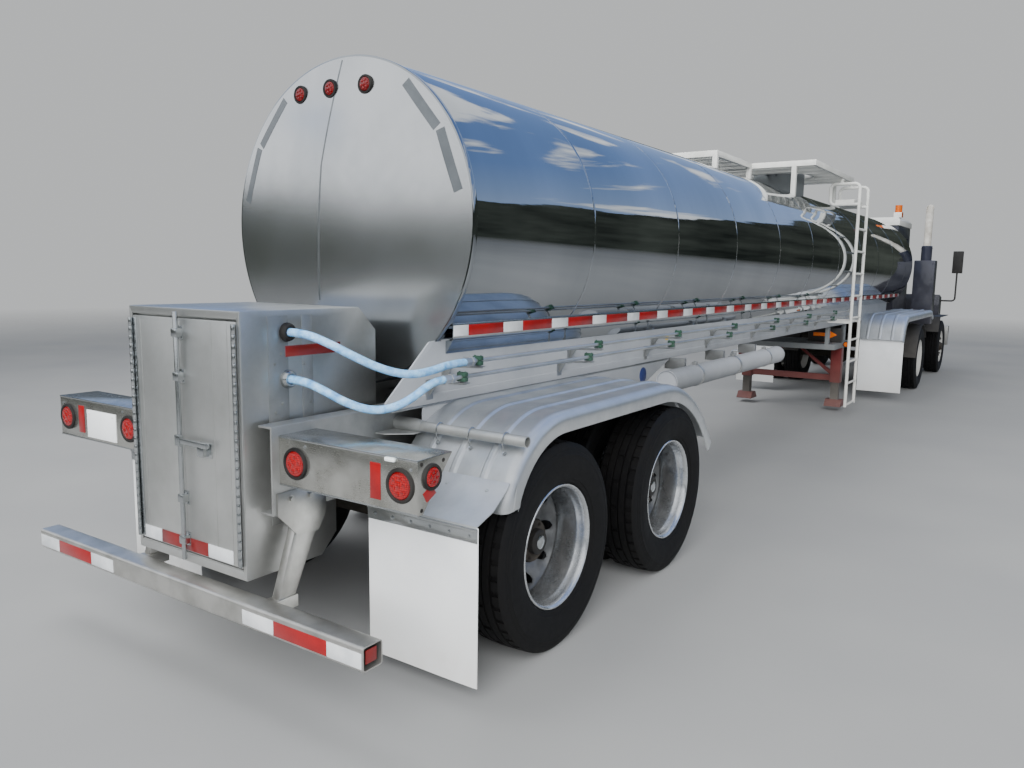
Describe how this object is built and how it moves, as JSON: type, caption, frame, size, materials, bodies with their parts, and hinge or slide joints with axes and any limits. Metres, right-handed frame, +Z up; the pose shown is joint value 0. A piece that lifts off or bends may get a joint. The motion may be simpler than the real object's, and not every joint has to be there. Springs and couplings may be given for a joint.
{
  "type": "articulated milk tanker lorry with terminal tractor",
  "caption": "Polished round food tank on a tandem semi-trailer, coupled to a dark terminal tractor; wheels, steering, doors and lid move.",
  "frame": {"origin": "on the road, under the middle of the whole lorry", "axes": "+X forward along the lorry, +Y to its left, +Z up"},
  "size_m": [16.6, 2.74, 3.1299],
  "materials": {
    "tank_steel": "mirror-polished stainless jacket, satin brushed head",
    "frame_steel": "light grey painted and bead-blasted steel",
    "box_steel": "satin stainless steel",
    "cabinet_steel": "brushed stainless sheet, worn by washing",
    "fender_aluminium": "ribbed mill-finish aluminium, scuffed",
    "ladder_aluminium": "whitened aluminium",
    "white_rubber": "white mud-flap rubber with road dirt",
    "tyre_rubber": "black tyre rubber with grey dust",
    "rim_paint": "white enamelled steel wheels",
    "black_steel": "black chassis paint",
    "engine_iron": "bare grey iron block",
    "red_paint": "faded red primer on the landing legs",
    "red_lens": "red lamp lens",
    "hose_blue": "light blue food hose",
    "cab_paint": "dark navy cab enamel",
    "white_paint": "white roof enamel",
    "window_glass": "dark tinted glass",
    "dark_plastic": "black moulded plastic",
    "side_tank_steel": "dark painted side tanks"
  },
  "bodies": {
    "trailer": {"tank": "tank_steel", "side_rails": "frame_steel", "coupler_frame": "frame_steel", "rear_subframe": "frame_steel", "axles_and_springs": "black_steel", "rear_fenders": "fender_aluminium", "front_fenders": "fender_aluminium", "mud_flaps": "white_rubber", "rear_bumper": "frame_steel", "lamp_boxes": "box_steel", "lamps": "red_lens", "cabinet": "cabinet_steel", "cabinet_outlet": "box_steel", "landing_gear": "red_paint", "gear_deck": "frame_steel", "ladder": "ladder_aluminium", "walkway": "ladder_aluminium", "manhole_neck": "box_steel", "side_lines": "box_steel", "upper_hose": "hose_blue", "lower_hose": "hose_blue"},
    "cabinet_door_left": {"cabinet_door_left": "cabinet_steel"},
    "cabinet_door_right": {"cabinet_door_right": "cabinet_steel"},
    "manhole_lid": {"manhole_lid": "box_steel"},
    "rear_wheel_left": {"rear_rims_left": "rim_paint", "rear_tyres_left": "tyre_rubber"},
    "rear_wheel_right": {"rear_rims_right": "rim_paint", "rear_tyres_right": "tyre_rubber"},
    "middle_wheel_left": {"middle_rims_left": "rim_paint", "middle_tyres_left": "tyre_rubber"},
    "middle_wheel_right": {"middle_rims_right": "rim_paint", "middle_tyres_right": "tyre_rubber"},
    "tractor": {"tractor_frame": "black_steel", "fifth_wheel": "black_steel", "drive_axle": "black_steel", "front_axle": "black_steel", "engine": "engine_iron", "cab_shell": "cab_paint", "cab_glass": "window_glass", "cab_roof": "white_paint", "cab_interior": "dark_plastic", "front_end": "cab_paint", "tractor_fenders": "dark_plastic", "exhaust": "black_steel", "mirrors": "dark_plastic", "side_tanks": "side_tank_steel"},
    "cab_door": {"cab_door": "cab_paint", "cab_door_glass": "window_glass"},
    "drive_wheel_left": {"drive_rims_left": "rim_paint", "drive_tyres_left": "tyre_rubber"},
    "drive_wheel_right": {"drive_rims_right": "rim_paint", "drive_tyres_right": "tyre_rubber"},
    "knuckle_left": {"knuckle_left": "black_steel"},
    "knuckle_right": {"knuckle_right": "black_steel"},
    "front_wheel_left": {"front_rim_left": "rim_paint", "front_tyre_left": "tyre_rubber"},
    "front_wheel_right": {"front_rim_right": "rim_paint", "front_tyre_right": "tyre_rubber"}
  },
  "joints": [
    {"name": "cabinet_door_left_hinge", "type": "hinge", "parent": "trailer", "child": "cabinet_door_left", "pos_m": [-8.212, 0.372, 1.0555], "axis": [0, 0, -1], "range_deg": [0, 170]},
    {"name": "cabinet_door_right_hinge", "type": "hinge", "parent": "trailer", "child": "cabinet_door_right", "pos_m": [-8.212, -0.348, 1.0555], "axis": [0, 0, 1], "range_deg": [0, 170]},
    {"name": "manhole_hinge", "type": "hinge", "parent": "trailer", "child": "manhole_lid", "pos_m": [-0.217, 0, 3.064], "axis": [0, -1, 0], "range_deg": [0, 100]},
    {"name": "fifth_wheel_pivot", "type": "hinge", "parent": "trailer", "child": "tractor", "pos_m": [4.63, 0, 1.12], "axis": [0, 0, 1], "range_deg": [-80, 80]},
    {"name": "cab_door_hinge", "type": "hinge", "parent": "tractor", "child": "cab_door", "pos_m": [7.604, 1.034, 1.9], "axis": [0, 0, -1], "range_deg": [0, 75]},
    {"name": "steer_left", "type": "hinge", "parent": "tractor", "child": "knuckle_left", "pos_m": [7.296, 0.905, 0.5], "axis": [0, 0, 1], "range_deg": [-35, 35]},
    {"name": "steer_right", "type": "hinge", "parent": "tractor", "child": "knuckle_right", "pos_m": [7.296, -0.905, 0.5], "axis": [0, 0, 1], "range_deg": [-35, 35]},
    {"name": "rear_wheel_left_spin", "type": "hinge", "parent": "trailer", "child": "rear_wheel_left", "pos_m": [-7.065, 0.9025, 0.5], "axis": [0, 1, 0], "continuous": true},
    {"name": "rear_wheel_right_spin", "type": "hinge", "parent": "trailer", "child": "rear_wheel_right", "pos_m": [-7.065, -0.9025, 0.5], "axis": [0, 1, 0], "continuous": true},
    {"name": "middle_wheel_left_spin", "type": "hinge", "parent": "trailer", "child": "middle_wheel_left", "pos_m": [-5.782, 0.9025, 0.5], "axis": [0, 1, 0], "continuous": true},
    {"name": "middle_wheel_right_spin", "type": "hinge", "parent": "trailer", "child": "middle_wheel_right", "pos_m": [-5.782, -0.9025, 0.5], "axis": [0, 1, 0], "continuous": true},
    {"name": "drive_wheel_left_spin", "type": "hinge", "parent": "tractor", "child": "drive_wheel_left", "pos_m": [4.35, 0.9025, 0.5], "axis": [0, 1, 0], "continuous": true},
    {"name": "drive_wheel_right_spin", "type": "hinge", "parent": "tractor", "child": "drive_wheel_right", "pos_m": [4.35, -0.9025, 0.5], "axis": [0, 1, 0], "continuous": true},
    {"name": "front_wheel_left_spin", "type": "hinge", "parent": "knuckle_left", "child": "front_wheel_left", "pos_m": [7.296, 1.05, 0.5], "axis": [0, 1, 0], "continuous": true},
    {"name": "front_wheel_right_spin", "type": "hinge", "parent": "knuckle_right", "child": "front_wheel_right", "pos_m": [7.296, -1.05, 0.5], "axis": [0, 1, 0], "continuous": true}
  ],
  "couplings": [
    {"joint": "steer_right", "follows": "steer_left", "ratio": 1}
  ]
}
